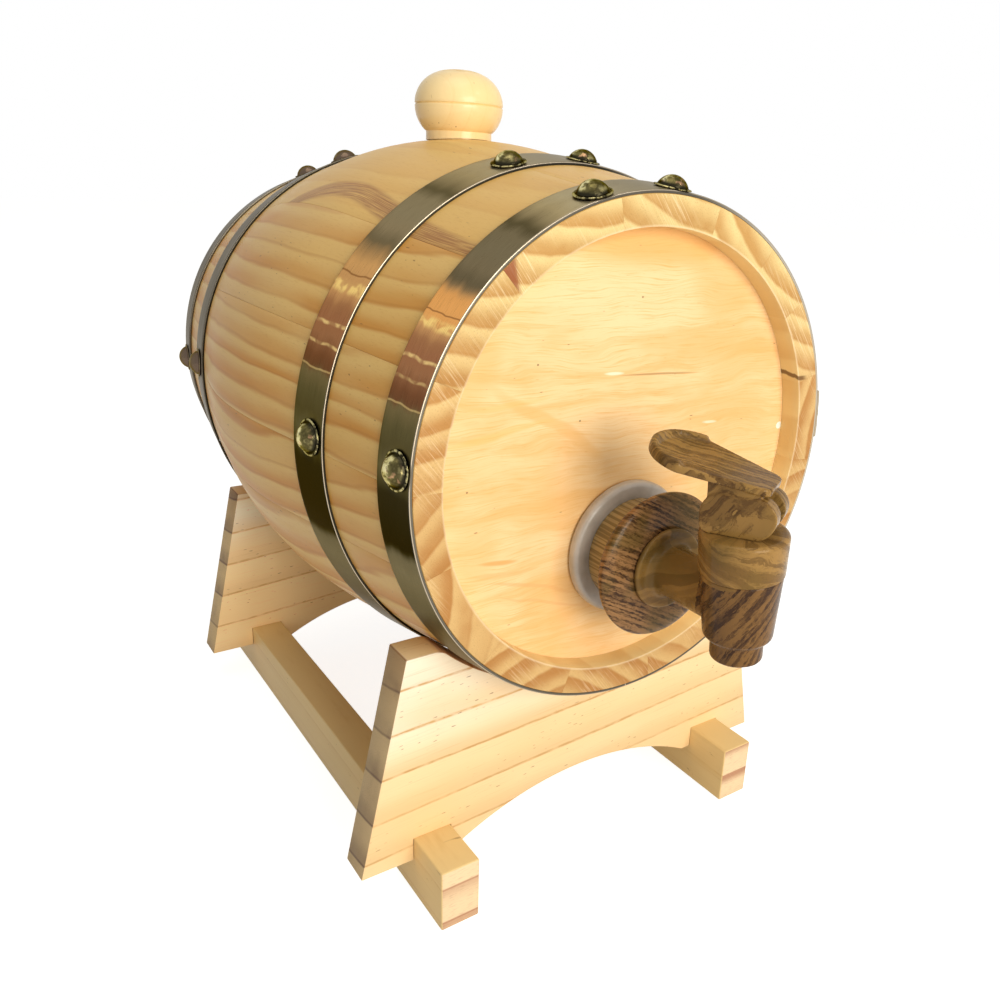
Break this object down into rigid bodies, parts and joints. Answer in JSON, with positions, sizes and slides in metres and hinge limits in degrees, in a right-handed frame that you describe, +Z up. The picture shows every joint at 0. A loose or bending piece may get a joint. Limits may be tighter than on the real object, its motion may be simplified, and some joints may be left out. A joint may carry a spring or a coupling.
{
  "type": "drink dispenser",
  "caption": "Small wooden cask with steel hoops, a lever tap in its head and a bung on top, lying in a notched board stand.",
  "frame": {"origin": "on the table, below the middle of the whole object's box (between the rails)", "axes": "+Z up; -Y is the side the tap points to, along the cask's axis; +X is to the right of someone facing the tap"},
  "size_m": [0.208, 0.3188, 0.2989],
  "materials": {
    "stave_wood": "clear satin lacquer",
    "head_wood": "clear satin lacquer",
    "bung_wood": "clear gloss lacquer",
    "stand_wood": "sanded, unfinished",
    "hoop_steel": "rolled strip, polished lengthwise",
    "nail_brass": "plated, polished",
    "washer_rubber": "smooth silicone",
    "plug_rubber": "smooth silicone",
    "tap_plastic": "gloss, wood-grain transfer print",
    "nut_plastic": "as moulded",
    "stem_steel": "bright drawn",
    "spring_steel": "bright drawn",
    "screw_steel": "zinc plated"
  },
  "bodies": {
    "stand": {"front_board": "stand_wood", "rear_board": "stand_wood", "left_rail": "stand_wood", "right_rail": "stand_wood", "stand_screws": "screw_steel"},
    "cask": {"stave_01": "stave_wood", "stave_02": "stave_wood", "stave_03": "stave_wood", "stave_04": "stave_wood", "stave_05": "stave_wood", "stave_06": "stave_wood", "stave_07": "stave_wood", "stave_08": "stave_wood", "stave_09": "stave_wood", "stave_10": "stave_wood", "stave_11": "stave_wood", "stave_12": "stave_wood", "stave_13": "stave_wood", "stave_14": "stave_wood", "stave_15": "stave_wood", "front_head": "head_wood", "rear_head": "head_wood", "front_head_hoop": "hoop_steel", "front_quarter_hoop": "hoop_steel", "rear_quarter_hoop": "hoop_steel", "rear_head_hoop": "hoop_steel", "front_head_hoop_nails": "nail_brass", "front_quarter_hoop_nails": "nail_brass", "rear_quarter_hoop_nails": "nail_brass", "rear_head_hoop_nails": "nail_brass", "outer_washer": "washer_rubber", "tap_collar": "tap_plastic", "tap_rosette": "tap_plastic", "inner_washer": "washer_rubber", "back_nut": "nut_plastic", "tap_body": "tap_plastic", "bonnet_cap": "tap_plastic"},
    "bung": {"bung": "bung_wood"},
    "swivel": {"stem_spring": "spring_steel"},
    "stem": {"valve_stem": "stem_steel", "valve_plug": "plug_rubber"},
    "lever": {"tap_lever": "tap_plastic", "lever_pin": "stem_steel"}
  },
  "joints": [
    {"name": "cask_lift", "type": "slide", "parent": "stand", "child": "cask", "axis": [0, 0, 1], "range_m": [0, 0.08]},
    {"name": "bung_lift", "type": "slide", "parent": "cask", "child": "bung", "axis": [0, 0, 1], "range_m": [0, 0.045]},
    {"name": "lever_swivel", "type": "hinge", "parent": "cask", "child": "swivel", "pos_m": [-0.00185, -0.14535, 0.16144], "axis": [-0.0698, 0, 0.9976], "continuous": true},
    {"name": "stem_lift", "type": "slide", "parent": "swivel", "child": "stem", "axis": [-0.0698, 0, 0.9976], "range_m": [0, 0.006], "deforming": ["stem_spring"]},
    {"name": "lever_swing", "type": "hinge", "parent": "stem", "child": "lever", "pos_m": [-0.00213, -0.14535, 0.16543], "axis": [0.8808, 0.4695, 0.0616], "range_deg": [0, 70], "stiffness_Nm_per_rad": 0.0036, "springref_deg": -120.32}
  ],
  "couplings": [
    {"joint": "stem_lift", "follows": "lever_swing", "m_per_rad": 0.004911}
  ]
}
